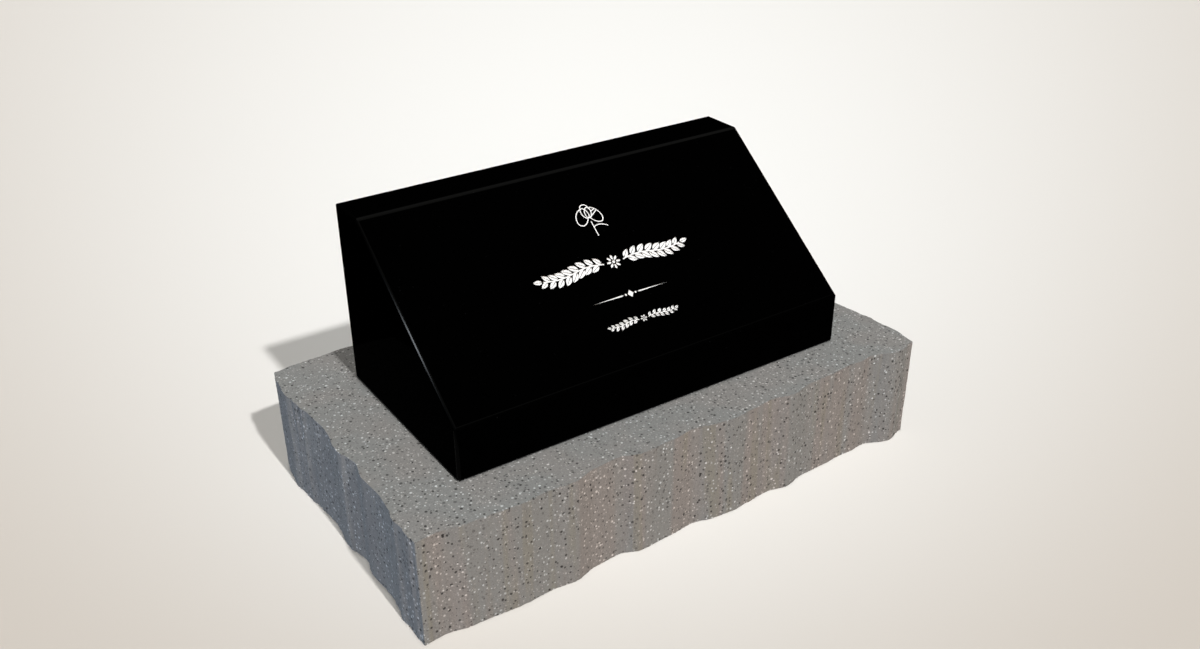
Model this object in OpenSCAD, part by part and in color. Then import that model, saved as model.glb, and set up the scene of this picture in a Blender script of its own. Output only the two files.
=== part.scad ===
// Slant grave marker: a polished slant tablet set on a rock-pitched granite base.
// Millimetres. X to the right, Y from front to back, Z up.
// The origin is on the ground, under the middle of the base.

/* [Tablet] */
// Width of the tablet from side to side
tablet_w = 610; // [400:5:900]
// Height of the tablet at its back
tablet_h = 254; // [180:1:360]
// Depth of the tablet at its foot, front to back
tablet_d = 300; // [220:1:400]
// Depth of the level top
top_d = 64; // [30:1:120]
// Height of the upright nose under the slant
nose_h = 71; // [30:1:120]
// Leg of the polished bevel along each arris
arris = 2.5; // [0.5:0.5:8]

/* [Base] */
// Ledge of base that shows past each end of the tablet
ledge_side = 99.5; // [60:0.5:200]
// Ledge of base that shows before the tablet
ledge_front = 78.5; // [50:0.5:200]
// Ledge of base that shows behind the tablet
ledge_back = 84; // [50:0.5:200]
// Height of the base
base_h = 152; // [100:1:250]
// Depth of the pitched face, from its proudest to its hollowest line
pitch_depth = 14; // [4:0.5:30]
// Spacing of the lines that make up a pitched face
pitch_step = 7; // [4:1:20]

/* [Setting] */
// Height of the joint between tablet and base
joint_h = 3; // [2:0.5:8]
// Set-back of the setting compound from the faces of the tablet
joint_setback = 2; // [1:0.5:15]
// Width of each strip of setting compound
strip_w = 25; // [15:1:50]
// Diameter of each setting spacer
spacer_d = 32; // [20:1:50]
// Gap between a spacer and the compound beside it
spacer_gap = 12; // [4:1:40]

/* [Hidden] */

base_w = tablet_w + 2 * ledge_side;
base_d = tablet_d + ledge_front + ledge_back;
tablet_y = (ledge_front - ledge_back) / 2;
tablet_z = base_h + joint_h;

// Middle of the compound strips, out from the middle of the joint
strip_x = tablet_w / 2 - joint_setback - strip_w / 2;
strip_y = tablet_d / 2 - joint_setback - strip_w / 2;
// Middle of the corner spacers
spacer_x = strip_x - strip_w / 2 - spacer_gap - spacer_d / 2;
spacer_y = strip_y - strip_w / 2 - spacer_gap - spacer_d / 2;

// Lines struck down each pitched face, in order round the base from its front left
// corner: [share of the face's length, share of the pitch depth that it falls back].
// The depths where two faces meet may differ, because each is measured square to its face.
front_face = [
    [0.00, 0.50], [0.04, 0.68], [0.08, 0.28], [0.17, 0.04], [0.22, 0.25], [0.26, 0.05],
    [0.31, 0.75], [0.35, 0.93], [0.39, 0.21], [0.45, 0.43], [0.50, 0.71], [0.54, 0.14],
    [0.58, 0.00], [0.61, 0.18], [0.66, 0.46], [0.70, 0.00], [0.75, 0.57], [0.80, 0.64],
    [0.85, 0.89], [0.87, 0.79], [0.90, 1.00], [0.955, 0.00], [1.00, 0.64]
];
right_face = [
    [0.00, 0.43], [0.09, 0.00], [0.16, 0.21], [0.19, 0.14], [0.24, 0.43], [0.31, 0.64],
    [0.37, 0.86], [0.44, 0.50], [0.49, 0.32], [0.54, 0.45], [0.60, 0.78], [0.65, 1.00],
    [0.72, 0.55], [0.77, 0.62], [0.85, 0.12], [0.92, 0.40], [1.00, 0.50]
];
back_face = [
    [0.00, 0.40], [0.03, 0.62], [0.07, 0.20], [0.12, 0.35], [0.16, 0.85], [0.20, 0.50],
    [0.25, 0.10], [0.30, 0.30], [0.36, 0.95], [0.41, 0.60], [0.46, 0.15], [0.50, 0.05],
    [0.55, 0.45], [0.60, 1.00], [0.64, 0.70], [0.69, 0.25], [0.74, 0.50], [0.78, 0.75],
    [0.82, 0.30], [0.865, 0.00], [0.92, 0.24], [0.96, 0.32], [1.00, 0.68]
];
left_face = [
    [0.00, 0.68], [0.05, 0.29], [0.145, 0.00], [0.19, 0.22], [0.24, 0.30], [0.28, 0.56],
    [0.39, 0.82], [0.44, 0.68], [0.475, 0.44], [0.52, 0.39], [0.56, 0.75], [0.595, 1.00],
    [0.665, 0.54], [0.775, 0.75], [0.83, 0.57], [0.885, 0.21], [0.92, 0.39], [0.95, 0.28],
    [1.00, 0.43]
];

// How far a face falls back at a share t of its length, easing from line to line
function fall(face, t) =
    let (i = max([for (k = [0 : len(face) - 2]) if (face[k].x <= t) k]))
    let (a = face[i], b = face[i + 1])
    let (ease = (1 - cos(180 * (t - a.x) / (b.x - a.x))) / 2)
    pitch_depth * (a.y + (b.y - a.y) * ease);

// Points of one face, run along X from x0 to x1 with its proudest line at y_out
function face_points(face, x0, x1, y_out) =
    let (count = ceil((x1 - x0) / pitch_step))
    [for (k = [0 : count - 1])
        let (t = k / count)
        [x0 + (x1 - x0) * t, y_out + fall(face, t)]];

// The same points carried round the base by quarter turns
function turned(points, quarters) =
    quarters == 0 ? points : turned([for (p = points) [-p.y, p.x]], quarters - 1);

// Outline of the base. Each face runs from where the face before it ends to where
// the face after it starts.
function base_outline() =
    let (faces = [front_face, right_face, back_face, left_face])
    let (half = [base_w / 2, base_d / 2])
    [for (q = [0 : 3])
        let (along = half[q % 2], out = half[(q + 1) % 2])
        let (x0 = -along + fall(faces[(q + 3) % 4], 1))
        let (x1 = along - fall(faces[(q + 1) % 4], 0))
        each turned(face_points(faces[q], x0, x1, -out), q)];

// Side profile of the tablet, [depth, height], round from its front foot
tablet_profile = [
    [-tablet_d / 2, 0], [tablet_d / 2, 0], [tablet_d / 2, tablet_h],
    [tablet_d / 2 - top_d, tablet_h], [-tablet_d / 2, nose_h]
];

function unit(v) = v / norm(v);

// Bevels every corner of the profile but the two on the bed joint
function bevelled(profile) =
    let (n = len(profile))
    [for (i = [0 : n - 1])
        let (p = profile[i])
        let (before = unit(profile[(i + n - 1) % n] - p))
        let (after = unit(profile[(i + 1) % n] - p))
        each i < 2 ? [p] : [p + before * arris, p + after * arris]];

// Cuts the bevel along one line of the profile at the tablet's right end
module end_bevel(from, to) {
    run = to - from;
    reach = norm(run) + tablet_d;
    thick = 4 * arris;
    translate([(from.x + to.x) / 2, (from.y + to.y) / 2, tablet_w / 2])
        rotate([0, 0, atan2(run.y, run.x)])
            rotate([45, 0, 0])
                translate([-reach / 2, -thick, -arris / sqrt(2)])
                    cube([reach, 2 * thick, thick]);
}

module tablet_body() {
    difference() {
        translate([0, 0, -tablet_w / 2])
            linear_extrude(height = tablet_w)
                polygon(bevelled(tablet_profile));
        for (side = [0, 1], i = [1 : len(tablet_profile) - 1])
            mirror([0, 0, side])
                end_bevel(tablet_profile[i], tablet_profile[(i + 1) % len(tablet_profile)]);
    }
}

module granite_base() {
    color("#8c8c88")
        linear_extrude(height = base_h)
            polygon(base_outline());
}

module slant_tablet() {
    color("#0a0a0b")
        translate([0, tablet_y, tablet_z])
            rotate([90, 0, 90])
                tablet_body();
}

// A strip of setting compound between the base and the tablet
module compound_strip(length, width) {
    color("#2b2b2a")
        translate([-length / 2, -width / 2, 0])
            cube([length, width, joint_h]);
}

// Strip along the front (side -1) or the back (side 1) of the joint
module long_strip(side) {
    translate([0, tablet_y + side * strip_y, base_h])
        compound_strip(tablet_w - 2 * joint_setback, strip_w);
}

// Strip along the left (side -1) or the right (side 1) end, between the long strips
module short_strip(side) {
    translate([side * strip_x, tablet_y, base_h])
        compound_strip(strip_w, tablet_d - 2 * joint_setback - 2 * strip_w);
}

// Disc that holds the tablet at the height of the joint
module spacer(side_x, side_y) {
    color("#c9c9c4")
        translate([side_x * spacer_x, tablet_y + side_y * spacer_y, base_h])
            cylinder(h = joint_h, d = spacer_d, $fn = 48);
}

granite_base();
slant_tablet();
long_strip(-1);  // compound_front
long_strip(1);  // compound_back
short_strip(-1);  // compound_left
short_strip(1);  // compound_right
spacer(-1, -1);  // spacer_front_left
spacer(1, -1);  // spacer_front_right
spacer(-1, 1);  // spacer_back_left
spacer(1, 1);  // spacer_back_right
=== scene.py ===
"""Looks of a slant grave marker: a polished slant tablet on a rock-pitched granite base.

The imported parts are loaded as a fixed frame, in metres. The base gets its struck stone
skin, the tablet its carved ornament, and every surface its finish. Then come the floor,
the light and the camera.
"""

import logging
from collections.abc import Callable, Sequence
from dataclasses import dataclass
from enum import Enum
from math import ceil, cos, pi, radians, sin, tau
from typing import TypeAlias

import bmesh
import bpy
from bpy.types import Curve, Light, Material, Mesh, NodeSocket, NodeTree, Object
from mathutils import Matrix, Vector


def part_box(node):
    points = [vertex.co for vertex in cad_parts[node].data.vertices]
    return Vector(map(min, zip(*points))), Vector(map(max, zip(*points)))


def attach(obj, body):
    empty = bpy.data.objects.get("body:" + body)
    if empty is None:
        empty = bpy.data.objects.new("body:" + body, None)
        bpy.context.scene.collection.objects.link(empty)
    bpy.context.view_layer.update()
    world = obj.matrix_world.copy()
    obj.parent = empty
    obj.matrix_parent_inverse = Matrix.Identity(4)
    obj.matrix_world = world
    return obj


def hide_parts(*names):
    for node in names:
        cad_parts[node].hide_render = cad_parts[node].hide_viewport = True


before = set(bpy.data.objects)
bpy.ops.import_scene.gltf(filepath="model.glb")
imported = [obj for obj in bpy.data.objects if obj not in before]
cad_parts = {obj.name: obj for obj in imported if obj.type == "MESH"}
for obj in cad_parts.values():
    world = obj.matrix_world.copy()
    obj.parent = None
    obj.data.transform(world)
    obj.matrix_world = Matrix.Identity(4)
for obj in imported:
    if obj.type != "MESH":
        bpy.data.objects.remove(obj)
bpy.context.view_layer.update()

LOG = logging.getLogger("slant_marker")
BODY = "root"
MM = 0.001
WELD = 0.01 * MM
FLAT = 0.02 * MM
PARALLEL = 0.9999

Pair = tuple[float, float]
Triple = tuple[float, float, float]
Colour = tuple[float, float, float]
Number: TypeAlias = "Wire | float"
Place: TypeAlias = "Wire | Triple"


class Slot(Enum):
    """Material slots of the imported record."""

    GREY_GRANITE = "grey_granite"
    BLACK_GRANITE = "black_granite"


class Surface(Enum):
    """Surfaces of the carved tablet, each with the number of its finish."""

    POLISHED = 0
    ARRIS = 1
    FROSTED = 2


# ---- Node trees ----


def pick(sockets: Sequence[NodeSocket], key: int | str) -> NodeSocket:
    """Finds one socket of a node.

    Args:
        sockets: The node's inputs or its outputs.
        key: The socket's number, identifier or name.

    Returns:
        The first enabled socket that the key fits.
    """
    if isinstance(key, int):
        return sockets[key]
    return next(one for one in sockets if one.enabled and key in (one.identifier, one.name))


def operator(operation: str, swapped: bool = False) -> Callable[["Wire", Number], "Wire"]:
    """Makes an operator for sums: this and other, or other and this where it is swapped."""
    return lambda this, other: this.sheet.math(
        operation, *((other, this) if swapped else (this, other)))


@dataclass(frozen=True)
class Wire:
    """An output socket. Sums written with it add Math nodes to its sheet."""

    sheet: "Sheet"
    socket: NodeSocket | None

    def also(self, key: int | str) -> "Wire":
        """Another output of the same node."""
        return Wire(self.sheet, pick(self.socket.node.outputs, key))

    __add__ = __radd__ = operator("ADD")
    __mul__ = __rmul__ = operator("MULTIPLY")
    __sub__, __rsub__ = operator("SUBTRACT"), operator("SUBTRACT", swapped=True)
    __truediv__, __rtruediv__ = operator("DIVIDE"), operator("DIVIDE", swapped=True)
    __pow__, __rpow__ = operator("POWER"), operator("POWER", swapped=True)

    def __abs__(self) -> "Wire":
        """This without its sign."""
        return self.sheet.math("ABSOLUTE", self)


class Sheet:
    """A node tree, for shading or for geometry, that method calls fill."""

    def __init__(self, tree: NodeTree) -> None:
        """Takes the tree to fill."""
        self.tree = tree

    def plug(self, socket: NodeSocket, value: object) -> None:
        """Links wires to an input, or sets its value.

        Args:
            socket: The input.
            value: A wire, a list of wires for an input that joins them, or a plain value.
        """
        for wire in value if isinstance(value, list) else [value]:
            if isinstance(wire, Wire):
                self.tree.links.new(wire.socket, socket)
            else:
                socket.default_value = wire

    def node(self, kind: str, sockets: dict[str | int, object] | None = None,
             **settings: str) -> Wire:
        """Adds a node.

        Args:
            kind: Its type.
            sockets: The values or wires of its inputs, by name, identifier or number.
            settings: Its own settings, which are set first.

        Returns:
            Its first output. The last node of a tree has none.
        """
        made = self.tree.nodes.new(kind)
        for name, value in settings.items():
            setattr(made, name, value)
        for key, value in (sockets or {}).items():
            self.plug(pick(made.inputs, key), value)
        return Wire(self, next(iter(made.outputs), None))

    def math(self, operation: str, *values: Number) -> Wire:
        """One Math node on up to three values."""
        return self.node("ShaderNodeMath", dict(enumerate(values)), operation=operation)

    def vector(self, operation: str, *values: Place) -> Wire:
        """One Vector Math node on up to three vectors."""
        return self.node("ShaderNodeVectorMath", dict(enumerate(values)), operation=operation)

    def join(self, x: Number = 0.0, y: Number = 0.0, z: Number = 0.0) -> Wire:
        """A vector made from three values."""
        return self.node("ShaderNodeCombineXYZ", {"X": x, "Y": y, "Z": z})

    def split(self, vector: Wire) -> tuple[Wire, Wire, Wire]:
        """The three values of a vector."""
        x = self.node("ShaderNodeSeparateXYZ", {0: vector})
        return x, x.also("Y"), x.also("Z")

    def ease(self, value: Number, none: Number, full: Number) -> Wire:
        """A mask that rises smoothly from 0 where value is none to 1 where it is full."""
        return self.node("ShaderNodeMapRange", {
            "Value": value, "From Min": none, "From Max": full
        }, interpolation_type="SMOOTHSTEP")

    def mix(self, share: Number, first: "Wire | Colour", second: "Wire | Colour") -> Wire:
        """A colour that goes from first to second as share goes from 0 to 1."""
        first, second = (end if isinstance(end, Wire) else (*end, 1.0) for end in (first, second))
        return self.node("ShaderNodeMix", {
            "Factor_Float": share, "A_Color": first, "B_Color": second
        }, data_type="RGBA").also("Result_Color")

    def noise(self, point: Wire, size: float, detail: float = 2.0) -> Wire:
        """Soft noise whose patches are about size across."""
        return self.node("ShaderNodeTexNoise", {
            "Vector": point, "Scale": 1.0 / size, "Detail": detail})


@dataclass(frozen=True)
class Flecks:
    """Round flecks in a stone: mean distance, largest radius, how ragged, and a seed."""

    cell: float
    radius: float
    ragged: float
    seed: int


class Finish(Sheet):
    """The node tree of a material, with the shader that its wires feed."""

    def __init__(self, name: str) -> None:
        """Makes an empty material with one shader.

        Args:
            name: Name of the material.
        """
        self.material = bpy.data.materials.new(name)
        self.material.use_nodes = True
        super().__init__(self.material.node_tree)
        self.tree.nodes.clear()
        shader = self.node("ShaderNodeBsdfPrincipled")
        self.shader = shader.socket.node
        self.node("ShaderNodeOutputMaterial", {"Surface": shader})
        self.point = self.node("ShaderNodeTexCoord").also("Object")

    def feed(self, **sockets: object) -> None:
        """Plugs values or wires into the shader. An underscore in a name stands for a space."""
        for name, value in sockets.items():
            self.plug(self.shader.inputs[name.replace("_", " ")], value)

    def relief(self, height: Wire, depth: float, strength: float) -> None:
        """Lets a height from 0 to 1 roughen the surface to a depth in metres."""
        self.feed(Normal=self.node("ShaderNodeBump", {
            "Strength": strength, "Distance": depth, "Height": height}))

    def flecks(self, kind: Flecks) -> Wire:
        """Scatters one kind of fleck through the stone.

        Args:
            kind: The flecks.

        Returns:
            A mask from 0 to 1. Each fleck has its own size and strength.
        """
        shift = (0.37 * kind.seed, 0.73 * kind.seed, 0.19 * kind.seed)
        point = self.vector("ADD", self.point, shift)
        wander = self.vector("SUBTRACT", self.noise(point, 2.2 * kind.radius).also("Color"),
                             (0.5, 0.5, 0.5))
        point = self.vector("ADD", point, self.vector("MULTIPLY", wander, (kind.ragged,) * 3))
        distance = self.node("ShaderNodeTexVoronoi", {"Vector": point, "Scale": 1.0 / kind.cell})
        chance, tone, _ = self.split(distance.also("Color"))
        crowd = self.noise(point, 5.0 * kind.cell, 1.0)
        reach = (0.2 + 0.55 * chance + 0.5 * crowd) * (kind.radius / kind.cell)
        return self.ease(distance, reach, reach * 0.6) * (0.3 + 0.7 * tone)


class Pattern(Sheet):
    """A Geometry Nodes tree with named inputs for its sizes."""

    def __init__(self, name: str, sizes: dict[str, float | int]) -> None:
        """Makes a tree.

        Args:
            name: Its name.
            sizes: Its inputs and the values that they get.
        """
        super().__init__(bpy.data.node_groups.new(name, "GeometryNodeTree"))
        face = self.tree.interface
        for way in ("OUTPUT", "INPUT"):
            face.new_socket("Geometry", in_out=way, socket_type="NodeSocketGeometry")
        self.values: dict[str, float | int] = {}
        for label, value in sizes.items():
            kind = "NodeSocketInt" if isinstance(value, int) else "NodeSocketFloat"
            made = face.new_socket(label, in_out="INPUT", socket_type=kind)
            self.values[made.identifier] = value
        self.entry = self.node("NodeGroupInput").socket.node

    def __getitem__(self, label: str) -> Wire:
        """The wire of one named input."""
        return Wire(self, self.entry.outputs[label])

    def make(self, name: str, geometry: Wire, material: Material | None = None,
             start: Curve | None = None) -> Object:
        """Ends the tree, runs it and keeps its result as a plain mesh.

        Args:
            name: Name of the piece.
            geometry: What the tree made.
            material: Its material. A tool that is cut away has none.
            start: The curve that the tree starts from, if it needs one.

        Returns:
            The piece, with no modifier on it.
        """
        real = self.node("GeometryNodeRealizeInstances", {"Geometry": geometry})
        self.node("NodeGroupOutput", {"Geometry": self.node(
            "GeometryNodeSetMaterial", {"Geometry": real, "Material": material})})
        source = link(bpy.data.objects.new(name, start or bpy.data.meshes.new(name)))
        modifier = source.modifiers.new("pattern", "NODES")
        modifier.node_group = self.tree
        for identifier, value in self.values.items():
            modifier[identifier] = value
        mesh = evaluated(source)
        bpy.data.objects.remove(source)
        mesh.name = name
        return link(bpy.data.objects.new(name, mesh))

    def moved(self, geometry: Wire, place: Place = (0.0, 0.0, 0.0), turn: Number = 0.0,
              size: Place = (1.0, 1.0, 1.0)) -> Wire:
        """Resizes geometry along its own axes, turns it about Z in radians and moves it."""
        return self.node("GeometryNodeTransform", {
            "Geometry": geometry, "Translation": place, "Rotation": self.join(z=turn),
            "Scale": size})

    def gather(self, *parts: Wire) -> Wire:
        """Several geometries as one."""
        return self.node("GeometryNodeJoinGeometry", {"Geometry": list(parts)})

    def weld(self, mesh: Wire) -> Wire:
        """A mesh whose touching corners are joined."""
        return self.node("GeometryNodeMergeByDistance", {"Geometry": mesh, "Distance": WELD})

    def flipped(self, mesh: Wire) -> Wire:
        """A mesh turned inside out."""
        return self.node("GeometryNodeFlipFaces", {"Mesh": mesh})

    def fuse(self, solids: list[Wire]) -> Wire:
        """Joins closed solids that overlap into one."""
        return self.node("GeometryNodeMeshBoolean", {1: solids},
                         operation="UNION", solver="MANIFOLD")

    def line(self, start: Place, end: Place) -> Wire:
        """A straight line."""
        return self.node("GeometryNodeCurvePrimitiveLine", {"Start": start, "End": end},
                         mode="POINTS")

    def bow(self, start: Place, middle: Place, end: Place, points: int) -> Wire:
        """A line that is drawn out towards its middle."""
        return self.node("GeometryNodeCurveQuadraticBezier", {
            "Resolution": points, "Start": start, "Middle": middle, "End": end})

    def circle(self, radius: Number, points: int) -> Wire:
        """A round line about the origin."""
        return self.node("GeometryNodeCurvePrimitiveCircle",
                         {"Resolution": points, "Radius": radius}, mode="RADIUS")

    def groove(self, line: Wire, width: Number) -> Wire:
        """A round tool of that width, run along a line with its ends closed."""
        return self.node("GeometryNodeCurveToMesh", {
            "Curve": line, "Profile Curve": self.circle(width * 0.5, 16), "Fill Caps": True})

    def prism(self, outline: Wire, depth: Wire) -> Wire:
        """Turns closed flat curves into solids that reach as far above as below them.

        Args:
            outline: The curves, in the XY plane.
            depth: How far the solids reach each way.

        Returns:
            Closed solids with their faces outwards.
        """
        flat = self.node("GeometryNodeFillCurve", {"Curve": outline}, mode="NGONS")
        floor = self.moved(flat, self.join(z=depth * -1.0))
        walls = self.node("GeometryNodeExtrudeMesh", {
            "Mesh": floor, "Offset": self.join(z=depth * 2.0), "Individual": False}, mode="FACES")
        return self.weld(self.gather(walls, self.flipped(floor)))

    def row(self, curve: Wire, count: Wire, shape: Wire, turn: float,
            size: Number = 1.0) -> Wire:
        """Sets one shape again and again along a flat curve.

        Args:
            curve: The curve.
            count: How many are set.
            shape: What is set, drawn along X.
            turn: How far each is turned from the curve's own way, in radians.
            size: The size of each.

        Returns:
            The row, as instances.
        """
        points = self.node("GeometryNodeCurveToPoints", {"Curve": curve, "Count": count},
                           mode="COUNT")
        x, y, _ = self.split(points.also("Tangent"))
        return self.node("GeometryNodeInstanceOnPoints", {
            "Points": points, "Instance": shape, "Scale": self.join(size, size, 1.0),
            "Rotation": self.join(z=self.math("ARCTAN2", y, x) + turn)})


# ---- Meshes ----


def link(piece: Object) -> Object:
    """Puts an object into the scene."""
    bpy.context.scene.collection.objects.link(piece)
    return piece


def evaluated(piece: Object) -> Mesh:
    """Works out a piece's modifiers and removes them.

    Args:
        piece: The piece.

    Returns:
        A new mesh of the result.
    """
    shaped = piece.evaluated_get(bpy.context.evaluated_depsgraph_get())
    mesh = bpy.data.meshes.new_from_object(shaped)
    piece.modifiers.clear()
    return mesh


def merged_copy(node: str) -> Mesh:
    """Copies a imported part's mesh with its corners joined and its flat faces made whole.

    Args:
        node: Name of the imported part.

    Returns:
        A new mesh.
    """
    work = bmesh.new()
    work.from_mesh(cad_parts[node].data)
    bmesh.ops.remove_doubles(work, verts=work.verts, dist=WELD)
    bmesh.ops.dissolve_limit(work, angle_limit=radians(0.1), verts=work.verts,
                             edges=work.edges)
    mesh = bpy.data.meshes.new(f"{node}_copy")
    work.to_mesh(mesh)
    work.free()
    if mesh.has_custom_normals:
        mesh.attributes.remove(mesh.attributes["custom_normal"])
    mesh.shade_flat()
    return mesh


def seat(piece: Object, node: str) -> list[Object]:
    """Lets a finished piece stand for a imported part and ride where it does.

    Args:
        piece: The finished piece.
        node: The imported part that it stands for.

    Returns:
        The piece, as the only one that was made.
    """
    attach(piece, BODY)
    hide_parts(node)
    return [piece]


# ---- Finishes ----


@dataclass(frozen=True)
class GreyGranite:
    """Grey granite with dark and white flecks, dull on top and struck down the sides, with
    painted light and shade in its colour.

    A range says where the noise or the slope behind a mask starts to show and where it is full.
    """

    warm: Colour = (0.250, 0.235, 0.222)
    cool: Colour = (0.226, 0.236, 0.231)
    olive: Colour = (0.232, 0.224, 0.180)
    shade: Colour = (0.150, 0.147, 0.145)
    black: Colour = (0.030, 0.029, 0.028)
    white: Colour = (0.64, 0.61, 0.58)
    cool_white: Colour = (0.57, 0.62, 0.63)
    soft_flecks: Flecks = Flecks(3.8 * MM, 1.5 * MM, 0.8 * MM, 1)
    black_flecks: Flecks = Flecks(6.1 * MM, 2.45 * MM, 1.2 * MM, 2)
    white_flecks: Flecks = Flecks(6.3 * MM, 2.05 * MM, 1.2 * MM, 3)
    pale_flecks: Flecks = Flecks(4.2 * MM, 1.55 * MM, 0.9 * MM, 4)
    grain: float = 1.7 * MM
    cloud: float = 70 * MM
    band: float = 26 * MM
    streak: float = 5 * MM
    painted_olive_light: float = 20 * MM
    drawn: float = 0.06
    painted_olive_light_from: Triple = (0.7, 0.3, 0.0)
    side_range: Pair = (0.4, 0.8)
    end_range: Pair = (0.5, 0.8)
    cloud_range: Pair = (0.38, 0.66)
    streak_range: Pair = (0.45, 0.75)
    painted_olive_light_range: Pair = (0.56, 0.68)
    grain_range: Pair = (0.40, 0.75)
    relief: Pair = (0.35 * MM, 0.5)
    roughness: float = 0.72
    gloss: float = 0.30

    def material(self) -> Material:
        """Makes the material.

        Returns:
            The material, with its pattern on the part's own coordinates.
        """
        finish = Finish("grey_granite")
        grain = finish.noise(finish.point, self.grain, 3.0)
        drawn = finish.vector("MULTIPLY", finish.point, (1.0, 1.0, self.drawn))
        normal = finish.node("ShaderNodeNewGeometry").also("Normal")
        normal_x, _, normal_z = finish.split(normal)
        side = finish.ease(1.0 - abs(normal_z), *self.side_range)
        end = finish.ease(abs(normal_x), *self.end_range)
        # The cloud is the stone's own tone. On the sides, its warm and cool bands and the dark
        # streaks are painted shading of the struck facets and flutes; the ends get a flatter
        # cloud, painted as a face in shade.
        band = (finish.noise(drawn, self.band, 1.0) - 0.5) * side
        cloud = finish.ease(finish.noise(drawn, self.cloud, 1.0) + band, *self.cloud_range)
        cloud = 0.55 + (cloud - 0.55) * (0.45 + 0.5 * side - 0.7 * end)
        streak = finish.ease(finish.noise(drawn, self.streak), *self.streak_range) * side
        # Painted light: olive patches on the struck sides, fewer on the ends and none on top,
        # stand for the olive tint that the facets catch.
        moved = finish.vector("ADD", drawn, self.painted_olive_light_from)
        painted_olive_light = finish.ease(finish.noise(moved, self.painted_olive_light, 1.0), *self.painted_olive_light_range) * side
        soft, pale, black, white = map(finish.flecks, (
            self.soft_flecks, self.pale_flecks, self.black_flecks, self.white_flecks))

        ground = finish.mix(cloud, self.cool, self.warm)
        # The share of a layer is what it has on top and what the sides or ends change. Less dark
        # grain and more pale flecks on top paint the top lighter than the sides: painted light.
        for share, colour in (
                (painted_olive_light * (0.55 - 0.45 * end), self.olive),
                (finish.ease(grain, *self.grain_range) * (0.46 + 0.09 * side), self.shade),
                (streak * 0.20, self.shade),
                (soft * (0.85 - 0.15 * side), self.shade),
                (pale * (0.50 - 0.20 * side), self.white),
                (black, self.black),
                (white, finish.mix(cloud, self.cool_white, self.white))):
            ground = finish.mix(share, ground, colour)

        finish.feed(Base_Color=ground, Roughness=self.roughness + 0.16 * (grain - 0.5),
                    Specular_IOR_Level=self.gloss)
        finish.relief(grain - 0.4 * black + 0.3 * white, *self.relief)
        return finish.material


@dataclass(frozen=True)
class BlackGranite:
    """Black granite with a polish and very faint flecks."""

    name: str
    gloss: float
    roughness: float
    ground: Colour = (0.0002, 0.0002, 0.0002)
    fleck: Colour = (0.010, 0.010, 0.011)
    flecks: Flecks = Flecks(6.0 * MM, 0.9 * MM, 0.5 * MM, 5)
    cloud: float = 3 * MM
    cloud_range: Pair = (0.45, 0.75)

    def material(self) -> Material:
        """Makes the material.

        Returns:
            The material, with its flecks on the part's own coordinates.
        """
        finish = Finish(self.name)
        cloud = finish.noise(finish.point, self.cloud, 3.0)
        share = finish.flecks(self.flecks) * finish.ease(cloud, *self.cloud_range)
        finish.feed(Base_Color=finish.mix(share, self.ground, self.fleck),
                    Roughness=self.roughness * (0.9 + 0.2 * cloud), Specular_IOR_Level=self.gloss)
        return finish.material


@dataclass(frozen=True)
class MattFinish:
    """A matt finish whose tone wavers with its grain."""

    name: str
    ground: Colour
    shade: Colour
    grain: float
    roughness: float
    gloss: float = 0.5
    relief: Pair = (0.1 * MM, 0.5)
    contrast: Pair | None = None

    def material(self) -> Material:
        """Makes the material.

        Returns:
            The material, with its grain on the part's own coordinates.
        """
        finish = Finish(self.name)
        grain = finish.noise(finish.point, self.grain, 3.0)
        share = finish.ease(grain, *self.contrast) if self.contrast else grain
        finish.feed(Base_Color=finish.mix(share, self.ground, self.shade),
                    Roughness=self.roughness + 0.1 * (grain - 0.5), Specular_IOR_Level=self.gloss)
        finish.relief(grain, *self.relief)
        return finish.material


# ---- The base ----


@dataclass(frozen=True)
class Marks:
    """Marks struck into a stone: depth, width, how far they are drawn upright, and detail."""

    depth: float
    width: float
    drawn: float
    detail: float


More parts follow.
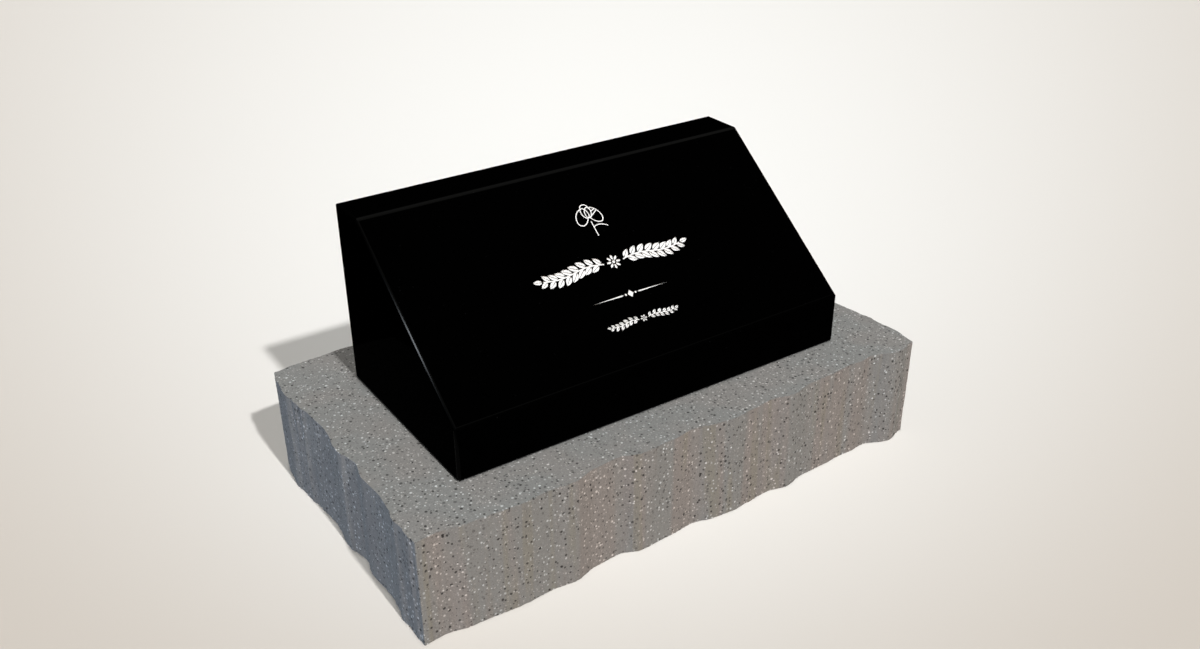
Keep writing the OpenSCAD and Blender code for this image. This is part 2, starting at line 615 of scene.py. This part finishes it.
@dataclass
class PitchedBase:
    """The granite base, whose sides are struck with a pitching tool."""

    node: str = "granite_base"
    column: float = 2.4 * MM
    row: float = 4.0 * MM
    scallop: Marks = Marks(0.7 * MM, 30 * MM, 0.30, 1.0)
    flute: Marks = Marks(0.7 * MM, 6 * MM, 0.07, 1.0)
    grain: Marks = Marks(0.3 * MM, 4 * MM, 1.0, 2.0)
    mark_range: Pair = (0.30, 0.70)
    sharp: float = 50.0
    finish: GreyGranite = GreyGranite()

    def outline(self) -> Curve:
        """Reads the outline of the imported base.

        Returns:
            A closed curve on the ground, run anticlockwise as seen from above.
        """
        mesh = merged_copy(self.node)
        under = min(mesh.polygons, key=lambda face: face.normal.z * face.area)
        curve = bpy.data.curves.new("base_outline", "CURVE")
        curve.dimensions = "3D"
        spline = curve.splines.new("POLY")
        spline.points.add(len(under.vertices) - 1)
        for point, corner in zip(spline.points, reversed(under.vertices)):
            point.co = (*mesh.vertices[corner].co, 1.0)
        spline.use_cyclic_u = True
        return curve

    def depth(self, sheet: Pattern, place: Wire) -> Wire:
        """How far the struck face falls back from the outline.

        Args:
            sheet: The tree that works it out.
            place: The point on the face.

        Returns:
            The depth in metres, never below nought.
        """
        depth = 0.0
        for label, marks in (("Scallop", self.scallop), ("Flute", self.flute),
                             ("Grain", self.grain)):
            drawn = sheet.vector("MULTIPLY", place, (1.0, 1.0, marks.drawn))
            noise = sheet.noise(drawn, marks.width, marks.detail)
            depth = depth + sheet.ease(noise, *self.mark_range) * sheet[label]
        return depth

    def cap(self, sheet: Pattern, wall: Wire, top: bool) -> Wire:
        """The flat face that closes the stone above or below.

        Args:
            sheet: The tree.
            wall: The struck sides, open above and below.
            top: Whether it is the upper face.

        Returns:
            The face, looking outwards.
        """
        open_side = 2.0 - sheet.node("GeometryNodeInputMeshEdgeNeighbors")
        _, _, level = sheet.split(sheet.node("GeometryNodeInputPosition"))
        above = level - sheet["Height"] * 0.5
        loop = sheet.node("GeometryNodeMeshToCurve", {
            "Mesh": wall, "Selection": open_side * (above if top else above * -1.0)})
        face = sheet.node("GeometryNodeFillCurve", {"Curve": loop}, mode="TRIANGLES")
        return sheet.moved(face, sheet.join(z=sheet["Height"])) if top else sheet.flipped(face)

    def strike(self, height: float) -> Object:
        """Strikes the sides along the outline and closes the stone above and below.

        Args:
            height: Height of the base.

        Returns:
            The stone.
        """
        sheet = Pattern("pitched_sides", {
            "Height": height, "Column": self.column, "Row": self.row,
            "Scallop": self.scallop.depth, "Flute": self.flute.depth, "Grain": self.grain.depth})
        smooth = sheet.node("GeometryNodeCurveSplineType", {"Curve": sheet["Geometry"]},
                            spline_type="CATMULL_ROM")
        round_way = sheet.node("GeometryNodeCurveLength", {"Curve": smooth})
        grid = sheet.node("GeometryNodeMeshGrid", {
            "Vertices X": round_way / sheet["Column"],
            "Vertices Y": sheet["Height"] / sheet["Row"]})
        across, up, _ = sheet.split(sheet.node("GeometryNodeInputPosition"))
        line = sheet.node("GeometryNodeSampleCurve", {"Curves": smooth, "Factor": across + 0.5},
                          mode="FACTOR")
        outwards = sheet.vector("CROSS_PRODUCT", line.also("Tangent"), (0.0, 0.0, 1.0))
        place = sheet.vector("ADD", line.also("Position"),
                             sheet.join(z=(up + 0.5) * sheet["Height"]))
        struck = sheet.vector("SUBTRACT", place,
                              sheet.vector("MULTIPLY", outwards, self.depth(sheet, place)))
        wall = sheet.weld(sheet.node("GeometryNodeSetPosition",
                                     {"Geometry": grid, "Position": struck}))
        whole = sheet.weld(sheet.gather(wall, self.cap(sheet, wall, True),
                                        self.cap(sheet, wall, False)))
        return sheet.make("pitched_base", whole, self.finish.material(), self.outline())

    def build(self) -> list[Object]:
        """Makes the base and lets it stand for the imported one.

        Returns:
            The piece.
        """
        low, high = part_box(self.node)
        piece = self.strike(high.z - low.z)
        piece.data.shade_smooth()
        piece.data.set_sharp_from_angle(angle=radians(self.sharp))
        return seat(piece, self.node)


# ---- The ornament ----


@dataclass
class LineFlower:
    """A flower drawn in round-bottomed lines, on a stem with one leaf.

    Its own middle is where the petals meet the stem. Two ovals cross in its bud.
    """

    across: float = -1.0 * MM
    down: float = 79.5 * MM
    stroke: float = 1.5 * MM
    bud: Pair = (4.8 * MM, 8.1 * MM)
    bud_middle: Pair = (-0.55 * MM, 8.9 * MM)
    bud_reach: float = 2.55 * MM
    bud_lean: float = 14.0
    crown: Pair = (5.8 * MM, 5.0 * MM)
    crown_rise: float = 17.0 * MM
    petal: Pair = (13.2 * MM, 8.6 * MM)
    petal_middle: Pair = (-10.0 * MM, 3.7 * MM)
    petal_lean: float = 59.0
    neck: float = 4.8 * MM
    stem: float = 28 * MM
    leaf_reach: float = 21 * MM
    leaf_start: Triple = (0.4 * MM, -13.6 * MM, 0.0)
    leaf_crest: float = -9.0 * MM
    leaf_tip: float = -16.8 * MM
    veins: tuple[tuple[Triple, Triple], ...] = (
        ((1.0 * MM, 0.4 * MM, 0.0), (15.2 * MM, 9.4 * MM, 0.0)),
        ((7.0 * MM, 9.8 * MM, 0.0), (13.4 * MM, 12.0 * MM, 0.0)))

    def oval(self, sheet: Pattern, half: Pair, middle: Pair, turn: float = 0.0,
             stretch: Pair | None = None) -> Wire:
        """An oval line, or a stretch of one.

        Args:
            sheet: The tree.
            half: Its half width and half height before it is turned.
            middle: Its middle.
            turn: How far it is turned, in degrees.
            stretch: Where a stretch starts and how far it goes, in degrees.

        Returns:
            The line.
        """
        if stretch:
            start, sweep = map(radians, stretch)
            ring = sheet.node("GeometryNodeCurveArc", {
                "Resolution": 40, "Radius": 1.0, "Start Angle": start, "Sweep Angle": sweep
            }, mode="RADIUS")
        else:
            ring = sheet.circle(1.0, 56)
        return sheet.moved(ring, (*middle, 0.0), radians(turn), (*half, 1.0))

    def tool(self) -> Object:
        """Runs the round tool along every line.

        Returns:
            The whole path as one solid.
        """
        sheet = Pattern("line_flower", {"Stroke": self.stroke, "Stem": self.stem,
                                        "Leaf Reach": self.leaf_reach})
        reach = sheet["Leaf Reach"]
        petal = self.oval(sheet, self.petal, self.petal_middle, self.petal_lean, (22.0, 262.0))
        x, y = self.bud_middle
        lines = [
            *(self.oval(sheet, self.bud, (x + self.bud_reach * side, y), -self.bud_lean * side)
              for side in (-1.0, 1.0)),
            self.oval(sheet, self.crown, (x, self.crown_rise), 0.0, (-12.0, 204.0)),
            petal, sheet.moved(petal, size=(-1.0, 1.0, 1.0)),
            sheet.bow(self.leaf_start, sheet.join(reach * 0.5, self.leaf_crest),
                      sheet.join(reach, self.leaf_tip), 24),
            sheet.line((0.0, -self.neck, 0.0), sheet.join(y=sheet["Stem"] * -1.0)),
            *(sheet.line(*ends) for ends in self.veins)]
        return sheet.make("flower_tool", sheet.fuse(
            [sheet.groove(line, sheet["Stroke"]) for line in lines]))


@dataclass
class TaperedRule:
    """A lozenge between two dots, with a line that tapers away on either side.

    The line's heel and the gaps beside the dots are counted in radii of a dot.
    """

    down: float
    half_length: float
    thick: float = 2.0 * MM
    lozenge: Pair = (9.0 * MM, 11.0 * MM)
    dot: float = 1.5 * MM
    gap: float = 2.2
    heel: float = 2.0
    across: float = 0.0
    depth: float = 1.2 * MM

    def kite(self, sheet: Pattern, thick: Wire, left: Wire, right: Wire) -> Wire:
        """A four-cornered outline, that thick at the origin, that reaches left and right."""
        return sheet.node("GeometryNodeCurvePrimitiveQuadrilateral", {
            "Point 1": sheet.join(left * -1.0), "Point 2": sheet.join(y=thick * -0.5),
            "Point 3": sheet.join(right), "Point 4": sheet.join(y=thick * 0.5)}, mode="POINTS")

    def tool(self) -> Object:
        """Draws the rule and gives it its depth.

        Returns:
            Everything that is cut for it, as solids.
        """
        sheet = Pattern("tapered_rule", {
            "Half Length": self.half_length, "Thick": self.thick, "Dot": self.dot,
            "Lozenge Width": self.lozenge[0], "Lozenge Height": self.lozenge[1],
            "Depth": self.depth})
        dot, half = sheet["Dot"], sheet["Lozenge Width"] * 0.5
        lozenge = self.kite(sheet, sheet["Lozenge Height"], half, half)
        dot_place = half + dot * self.gap
        heel = dot * self.heel
        line_place = dot_place + dot * self.gap + heel
        line = self.kite(sheet, sheet["Thick"], heel, sheet["Half Length"] - line_place)
        right = sheet.gather(sheet.moved(sheet.circle(dot, 24), sheet.join(dot_place)),
                             sheet.moved(line, sheet.join(line_place)))
        whole = sheet.gather(sheet.moved(right, turn=pi), lozenge, right)
        return sheet.make("rule_tool", sheet.prism(whole, sheet["Depth"]))


@dataclass
class LeafBand:
    """Two winding branches of split leaves that grow outwards from a small rosette.

    A row of leaves is a side of the vine and the shares of it where the leaves start and end.
    The rosette's ring, petals, eye and clearing are shares of its radius.
    """

    down: float
    half_length: float
    leaves: int
    leaf: Pair
    vine: float
    wave: float
    rosette: float
    petals: int
    across: float = 0.0
    lean: float = 37.0
    depth: float = 1.2 * MM
    rows: tuple[Triple, ...] = ((1.0, 0.02, 0.88), (-1.0, 0.07, 0.93))
    fullest: float = 0.4
    petal_length: float = 0.33
    ring: float = 0.67
    eye: float = 0.21
    clearing: float = 1.45

    def split_leaf(self, sheet: Pattern) -> Wire:
        """Draws a leaf along X.

        Args:
            sheet: The tree.

        Returns:
            Two solid halves, with the stone of the vein left between them.
        """
        length, width = sheet["Leaf Length"], sheet["Leaf Width"]
        halves = []
        for side in (1.0, -1.0):
            vein = sheet["Vein"] * (0.5 * side)
            curve = sheet.bow(sheet.join(sheet["Vine"] * 1.25, vein),
                              sheet.join(length * 0.45, vein + width * side),
                              sheet.join(length, vein * 0.4), 14)
            halves.append(sheet.node("GeometryNodeSetSplineCyclic",
                                     {"Geometry": curve, "Cyclic": True}))
        return sheet.prism(sheet.gather(*halves), sheet["Depth"])

    def branch(self, sheet: Pattern) -> Wire:
        """Draws the right-hand branch.

        Args:
            sheet: The tree.

        Returns:
            The groove of its vine and its leaves, with one more leaf at the tip.
        """
        start, end = sheet["Rosette"] * self.clearing, sheet["Half Length"]
        run = end - start
        line = sheet.node("GeometryNodeResampleCurve", {
            "Curve": sheet.line(sheet.join(start), sheet.join(end)), "Count": 72}, mode="COUNT")
        x, _, _ = sheet.split(sheet.node("GeometryNodeInputPosition"))
        share = (x - start) / run
        swing = sheet.math("SINE", share * tau) * sheet["Wave"]
        vine = sheet.node("GeometryNodeSetPosition",
                          {"Geometry": line, "Offset": sheet.join(y=swing)})
        leaf = self.split_leaf(sheet)
        slope = sheet["Wave"] * tau / run
        parts = [sheet.groove(vine, sheet["Vine"]),
                 sheet.moved(leaf, sheet.join(end), slope, (0.8, 0.8, 1.0))]
        away = share - self.fullest
        for side, first, last in self.rows:
            stretch = sheet.node("GeometryNodeTrimCurve",
                                 {"Curve": vine, "Start": first, "End": last}, mode="FACTOR")
            parts.append(sheet.row(stretch, sheet["Leaves"], leaf,
                                   radians(self.lean * side), 1.0 - 0.8 * (away * away)))
        return sheet.fuse(parts)

    def flower(self, sheet: Pattern) -> Wire:
        """Draws the rosette.

        Args:
            sheet: The tree.

        Returns:
            Long petals about a round eye.
        """
        petals, depth = sheet["Petals"], sheet["Depth"]
        disc = sheet.circle(sheet["Rosette"], 20)
        ring = sheet.circle(sheet["Rosette"] * self.ring, 48)
        petal = sheet.moved(disc, size=sheet.join(self.petal_length, 1.25 / petals, 1.0))
        eye = sheet.moved(disc, size=(self.eye, self.eye, 1.0))
        return sheet.gather(sheet.row(ring, petals, sheet.prism(petal, depth), -0.5 * pi),
                            sheet.prism(eye, depth))

    def tool(self) -> Object:
        """Draws both branches and the rosette.

        Returns:
            Everything that is cut for the band, as solids.
        """
        sheet = Pattern("leaf_band", {
            "Half Length": self.half_length, "Leaves": self.leaves,
            "Leaf Length": self.leaf[0], "Leaf Width": self.leaf[1],
            "Vein": 0.4 * MM + 0.2 * self.vine, "Vine": self.vine, "Wave": self.wave,
            "Rosette": self.rosette, "Petals": self.petals, "Depth": self.depth})
        right = self.branch(sheet)
        left = sheet.flipped(sheet.moved(right, size=(-1.0, 1.0, 1.0)))
        return sheet.make("band_tool", sheet.gather(left, right, self.flower(sheet)))


Ornament = LineFlower | TaperedRule | LeafBand


# ---- The tablet ----


@dataclass
class SlantTablet:
    """The polished tablet with the ornament cut into its slant."""

    node: str = "slant_tablet"
    broad: float = 0.01
    rub: float = 1.1 * MM
    margin: float = 6 * MM
    cell: float = 20 * MM
    finishes: tuple[BlackGranite | MattFinish, ...] = (
        BlackGranite("black_granite_polished", 0.0004, 0.05),
        BlackGranite("black_granite_arris", 0.06, 0.16),
        MattFinish("frosted_cut", (0.86, 0.86, 0.855), (0.70, 0.70, 0.69), 0.5 * MM, 0.9,
                   0.2, (0.12 * MM, 0.6), (0.45, 0.8)))
    ornaments: tuple[Ornament, ...] = (
        LineFlower(),
        LeafBand(down=149.5 * MM, half_length=109 * MM, leaves=8, leaf=(18.5 * MM, 7.6 * MM),
                 vine=1.8 * MM, wave=2.8 * MM, rosette=10.5 * MM, petals=8),
        TaperedRule(down=199.5 * MM, half_length=60 * MM),
        LeafBand(down=237.5 * MM, half_length=50 * MM, leaves=6, leaf=(9.0 * MM, 3.8 * MM),
                 vine=1.0 * MM, wave=1.3 * MM, rosette=5.0 * MM, petals=6),
    )

    def rub_arrises(self, mesh: Mesh) -> None:
        """Rubs the long edges of the arrises round.

        Args:
            mesh: The tablet, whose narrow faces are its arrises.
        """
        work = bmesh.new()
        work.from_mesh(mesh)
        areas = {face: face.calc_area() for face in work.faces}
        edges = [edge for edge in work.edges
                 if min(areas[face] for face in edge.link_faces) < self.broad
                 < max(areas[face] for face in edge.link_faces)]
        bmesh.ops.bevel(work, geom=edges, offset=self.rub, offset_type="OFFSET", segments=2,
                        profile=0.5, affect="EDGES", clamp_overlap=True, loop_slide=True)
        work.to_mesh(mesh)
        work.free()

    def slant(self, mesh: Mesh) -> Matrix:
        """Finds the slant's own axes.

        Args:
            mesh: The tablet, whose slant is the large face that looks forwards and up.

        Returns:
            The place of the middle of the slant's upper edge, with X to the right, Y up
            the slope and Z out of the stone.
        """
        face = min(mesh.polygons, key=lambda one: one.area * one.normal.y * one.normal.z)
        corners = [mesh.vertices[i].co for i in face.vertices]
        right = Vector((1.0, 0.0, 0.0))
        out = face.normal.copy()
        up = out.cross(right)
        crest = max(corners, key=lambda corner: corner.dot(up))
        middle = sum(corner.x for corner in corners) / len(corners)
        turn = Matrix((right, up, out)).transposed().to_4x4()
        return Matrix.Translation((middle, crest.y, crest.z)) @ turn

    def slice(self, mesh: Mesh, slant: Matrix) -> None:
        """Slices the slant's face into small squares, so carving leaves no large ragged face.

        Args:
            mesh: The tablet, not yet carved.
            slant: The slant's own axes.
        """
        inwards = slant.inverted()
        turn = slant.to_3x3()
        work = bmesh.new()
        work.from_mesh(mesh)
        for axis in (0, 1):
            step = Vector((0.0, 0.0, 0.0))
            step[axis] = self.cell
            reach = [(inwards @ vertex.co)[axis] / self.cell for vertex in work.verts]
            for count in range(ceil(min(reach)), ceil(max(reach))):
                faces = [face for face in work.faces
                         if abs((inwards @ face.calc_center_median()).z) < FLAT]
                edges = {edge for face in faces for edge in face.edges}
                corners = {corner for face in faces for corner in face.verts}
                bmesh.ops.bisect_plane(work, geom=[*corners, *edges, *faces],
                                       plane_co=slant @ (step * count), plane_no=turn @ step)
        work.to_mesh(mesh)
        work.free()

    def carve(self, piece: Object, slant: Matrix, ornament: Ornament) -> None:
        """Cuts one ornament into the slant.

        Args:
            piece: The tablet, whose mesh is replaced.
            slant: The slant's own axes.
            ornament: What is cut.
        """
        tool = ornament.tool()
        spot = Matrix.Translation((ornament.across, -ornament.down, 0.0))
        tool.data.transform(slant @ spot)
        modifier = piece.modifiers.new("cut", "BOOLEAN")
        modifier.operation, modifier.solver, modifier.object = "DIFFERENCE", "MANIFOLD", tool
        piece.data = evaluated(piece)
        bpy.data.objects.remove(tool)

    def sort_surfaces(self, mesh: Mesh, whole: Mesh, slant: Matrix) -> None:
        """Gives each face of the carved tablet its material.

        Args:
            mesh: The carved tablet.
            whole: The tablet before it was carved, whose broad planes are its polished faces.
            slant: The slant's own axes. Only well inside the slant is anything carved.
        """
        planes = [(face.normal.copy(), face.center.dot(face.normal))
                  for face in whole.polygons if face.area > self.broad]
        inwards = slant.inverted()
        spots = [inwards @ vertex.co for vertex in whole.vertices]
        flat = [spot for spot in spots if abs(spot.z) < FLAT]
        half = max(spot.x for spot in flat) - self.margin
        foot = min(spot.y for spot in flat) + self.margin
        for face in mesh.polygons:
            place = inwards @ face.center
            if any(abs(face.center.dot(normal) - reach) < FLAT
                   and face.normal.dot(normal) > PARALLEL for normal, reach in planes):
                kind = Surface.POLISHED
            elif abs(place.x) < half and foot < place.y < -self.margin:
                kind = Surface.FROSTED
            else:
                kind = Surface.ARRIS
            face.material_index = kind.value

    def build(self) -> list[Object]:
        """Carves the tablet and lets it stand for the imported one.

        Returns:
            The piece.
        """
        whole = merged_copy(self.node)
        slant = self.slant(whole)
        self.rub_arrises(whole)
        piece = link(bpy.data.objects.new("carved_tablet", whole.copy()))
        self.slice(piece.data, slant)
        for ornament in self.ornaments:
            self.carve(piece, slant, ornament)
        piece.data.name = piece.name
        piece.data.materials.clear()
        for finish in self.finishes:
            piece.data.materials.append(finish.material())
        self.sort_surfaces(piece.data, whole, slant)
        return seat(piece, self.node)


# ---- The joint ----


@dataclass
class BedJoint:
    """The setting compound and the spacers between the two stones."""

    compound: MattFinish = MattFinish("setting_compound", (0.003, 0.003, 0.003),
                                      (0.006, 0.006, 0.006), 2 * MM, 0.8)
    spacer: MattFinish = MattFinish("spacer_plastic", (0.62, 0.62, 0.60),
                                    (0.52, 0.52, 0.50), 4 * MM, 0.5)

    def build(self) -> list[Object]:
        """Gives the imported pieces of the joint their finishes.

        Returns:
            The pieces.
        """
        dressed = []
        for kind, finish in (("compound", self.compound), ("spacer", self.spacer)):
            material = finish.material()
            for name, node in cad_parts.items():
                if name.startswith(kind):
                    node.data.materials.clear()
                    node.data.materials.append(material)
                    dressed.append(node)
        return dressed


# ---- The studio ----


@dataclass(frozen=True)
class Sun:
    """A far lamp: its name, the way to it, its power, its spread in degrees and its colour."""

    name: str
    aim: Triple
    power: float
    spread: float
    colour: Colour = (1.0, 1.0, 1.0)


@dataclass
class Studio:
    """A pale floor, soft light and the camera."""

    floor_half: float = 60.0
    floor_middle: Colour = (0.925, 0.922, 0.905)
    floor_rim: Colour = (0.602, 0.552, 0.498)
    floor_far: Colour = (0.691, 0.645, 0.616)
    far: Pair = (5.0, 12.0)
    pool_near: Pair = (0.4, 0.5)
    pool_middle: float = 0.433
    pool_spread: Pair = (0.915, 0.912)
    pool_peak: float = 1.014
    pool_fall: float = 0.745
    pool_range: Pair = (0.545, 1.06)
    backdrop: Colour = (0.756, 0.724, 0.680)
    mirrored: Colour = (0.53, 0.53, 0.50)
    above: Colour = (0.14, 0.14, 0.14)
    below: Colour = (0.66, 0.67, 0.67)
    left: Colour = (1.065, 1.351, 1.746)
    front: Colour = (0.864, 0.563, 0.349)
    level_range: Pair = (-0.25, 0.3)
    above_range: Pair = (-0.2, 0.2)
    left_range: Pair = (-0.1, 0.7)
    front_range: Pair = (0.0, 0.9)
    mirrored_range: Pair = (0.45, 0.85)
    suns: tuple[Sun, ...] = (
        Sun("key", (0.002, -0.7215, 0.6924), 2.6, 2.0),
        Sun("overhead", (0.0, 0.0, 1.0), 1.17, 3.0, (1.0, 0.995, 0.962)))
    edge_place: Triple = (-1.178, -0.007, 0.786)
    edge_aim: Triple = (-0.305, -0.056, 0.301)
    edge_power: float = 1.4
    edge_size: float = 0.08
    edge_colour: Colour = (0.86, 0.93, 1.0)
    camera_place: Triple = (-0.796, -1.18305, 0.9786)
    camera_turn: Triple = (-34.018, 28.497, -0.325)
    lens: float = 34.914

    def pool(self, finish: Finish) -> Wire:
        """A pool of light painted into the floor's colour, as if thrown from above the camera.

        Args:
            finish: The floor's material.

        Returns:
            Its share, near 1 in the middle and 0 at the rim.
        """
        bearing = radians(self.camera_turn[0])
        ahead = (-sin(bearing), cos(bearing), 0.0)
        aside = (cos(bearing), sin(bearing), 0.0)
        away = finish.vector("SUBTRACT", finish.point, self.camera_place)
        reach = finish.math("SMOOTH_MAX", finish.vector("DOT_PRODUCT", away, ahead).also("Value"),
                            *self.pool_near)
        over = (1.0 / reach - self.pool_middle) * self.pool_spread[0]
        beside = finish.vector("DOT_PRODUCT", away, aside).also("Value") / reach
        beside = beside * self.pool_spread[1]
        light = self.pool_peak / (1.0 + (over * over + beside * beside) ** self.pool_fall)
        return finish.ease(light, *self.pool_range)

    def floor(self) -> Object:
        """Lays the floor, whose colour is a painted pool of light that darkens towards its rim
        and far off. It takes the shadows, and the studio lights the stone from below.

        Returns:
            The floor.
        """
        mesh = bpy.data.meshes.new("floor")
        mesh.from_pydata([(x * self.floor_half, y * self.floor_half, 0.0) for x, y in (
            (-1, -1), (1, -1), (1, 1), (-1, 1))], [], [range(4)])
        finish = Finish("pale_floor")
        # Painted light: lighter in the pool, darker at its rim and far away.
        colour = finish.mix(self.pool(finish), self.floor_rim, self.floor_middle)
        distance = finish.vector("LENGTH", finish.point).also("Value")
        colour = finish.mix(finish.ease(distance, *self.far), colour, self.floor_far)
        finish.feed(Base_Color=colour, Roughness=0.9, Specular_IOR_Level=0.0)
        mesh.materials.append(finish.material)
        floor = link(bpy.data.objects.new("floor", mesh))
        floor.visible_diffuse = floor.visible_glossy = False
        return floor

    def sky(self) -> None:
        """Lights the scene softly from all round, cool from the left and warm from the front.

        The polished faces mirror only a soft light overhead.
        """
        world = bpy.data.worlds.new("studio")
        world.use_nodes = True
        bpy.context.scene.world = world
        sheet = Sheet(world.node_tree)
        sheet.tree.nodes.clear()
        x, y, z = sheet.split(sheet.node("ShaderNodeTexCoord").also("Generated"))
        level = 1.0 - sheet.ease(z, *self.level_range)
        colour = sheet.mix(sheet.ease(z, *self.above_range), self.below, self.above)
        colour = sheet.mix(sheet.ease(x * -1.0, *self.left_range) * level, colour, self.left)
        colour = sheet.mix(sheet.ease(y * -1.0, *self.front_range) * level, colour, self.front)
        path = sheet.node("ShaderNodeLightPath")
        mirrored = sheet.mix(sheet.ease(z, *self.mirrored_range), (0.0, 0.0, 0.0), self.mirrored)
        colour = sheet.mix(path.also("Is Glossy Ray"), colour, mirrored)
        colour = sheet.mix(path.also("Is Camera Ray"), colour, self.backdrop)
        sheet.node("ShaderNodeOutputWorld", {
            "Surface": sheet.node("ShaderNodeBackground", {"Color": colour})})

    def lamp(self, data: Light, aim: Triple | Vector) -> Object:
        """Hangs one lamp.

        Args:
            data: The lamp.
            aim: The way from what it lights to the lamp.

        Returns:
            The lamp's object, at the origin.
        """
        lamp = link(bpy.data.objects.new(data.name, data))
        lamp.rotation_mode = "QUATERNION"
        lamp.rotation_quaternion = Vector(aim).to_track_quat("Z", "Y")
        return lamp

    def lamps(self) -> None:
        """Hangs the lamps: the key, one overhead, and one that only polished edges mirror."""
        for sun in self.suns:
            light = bpy.data.lights.new(sun.name, "SUN")
            light.energy, light.angle, light.color = sun.power, radians(sun.spread), sun.colour
            self.lamp(light, sun.aim).visible_glossy = sun.name == "key"

        edge = bpy.data.lights.new("edge", "AREA")
        edge.shape, edge.size, edge.energy = "DISK", self.edge_size, self.edge_power
        edge.color = self.edge_colour
        lamp = self.lamp(edge, Vector(self.edge_place) - Vector(self.edge_aim))
        lamp.location = self.edge_place
        lamp.visible_diffuse = lamp.visible_camera = False

    def camera(self) -> None:
        """Sets up the camera, turned by its azimuth, elevation and roll."""
        azimuth, elevation, roll = map(radians, self.camera_turn)
        data = bpy.data.cameras.new("camera")
        data.lens = self.lens
        camera = link(bpy.data.objects.new("camera", data))
        camera.matrix_world = (
            Matrix.Translation(self.camera_place) @ Matrix.Rotation(azimuth, 4, "Z")
            @ Matrix.Rotation(pi / 2 - elevation, 4, "X") @ Matrix.Rotation(roll, 4, "Z"))
        bpy.context.scene.camera = camera

    def build(self) -> list[Object]:
        """Sets the whole studio up.

        Returns:
            The floor.
        """
        bpy.context.scene.view_settings.view_transform = "Standard"
        self.sky()
        self.lamps()
        self.camera()
        return [self.floor()]


def main() -> None:
    """Builds the marker and the studio around it, and reports each piece."""
    logging.basicConfig(level=logging.INFO, format="%(message)s")
    for maker in (PitchedBase(), SlantTablet(), BedJoint(), Studio()):
        for piece in maker.build():
            LOG.info("%s: %s, %d faces", type(maker).__name__, piece.name,
                     len(piece.data.polygons))


if __name__ == "__main__":
    main()
